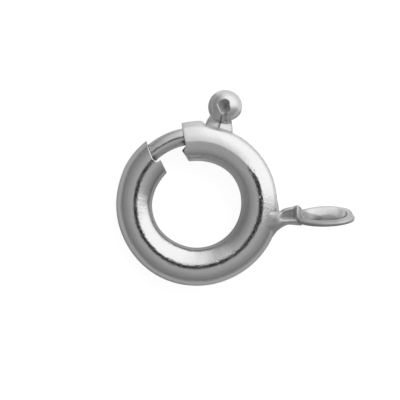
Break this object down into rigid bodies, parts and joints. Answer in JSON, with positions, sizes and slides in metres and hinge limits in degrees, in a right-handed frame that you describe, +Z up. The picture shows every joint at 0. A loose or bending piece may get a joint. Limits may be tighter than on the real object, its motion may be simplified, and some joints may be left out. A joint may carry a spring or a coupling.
{
  "type": "spring ring clasp",
  "caption": "Small round clasp of bent tube, with a sprung needle moved by a ball-ended thumb lever and a soldered wire eyelet at its side.",
  "frame": {"origin": "centre of the ring, in the middle of the tube's height", "axes": "+X runs from the ring to the eyelet, +Y to the side that the thumb lever and the opening are on, and +Z up from the table that the clasp lies on. The ring's own axis leans 2.92 degrees from +Z, because the eyelet is taller than the tube"},
  "size_m": [0.0088, 0.0072, 0.0021],
  "materials": {
    "polished_silver": "polished silver tube with fine draw lines",
    "drawn_silver": "drawn silver wire, rubbed along its length",
    "pressed_silver": "polished pressed sheet with fine turning lines on the ball",
    "spring_steel": "bright drawn spring wire"
  },
  "bodies": {
    "ring": {"ring_tube": "polished_silver", "coil_spring": "spring_steel"},
    "bolt": {"needle": "drawn_silver", "thumb_lever": "pressed_silver"}
  },
  "joints": [
    {"name": "bolt_slide", "type": "hinge", "parent": "ring", "child": "bolt", "pos_m": [0, 0, 0], "axis": [-0.0502, 0.0085, 0.9987], "range_deg": [-45, 0], "stiffness_Nm_per_rad": 0.0025, "springref_deg": 34.38, "deforming": ["coil_spring"]}
  ]
}
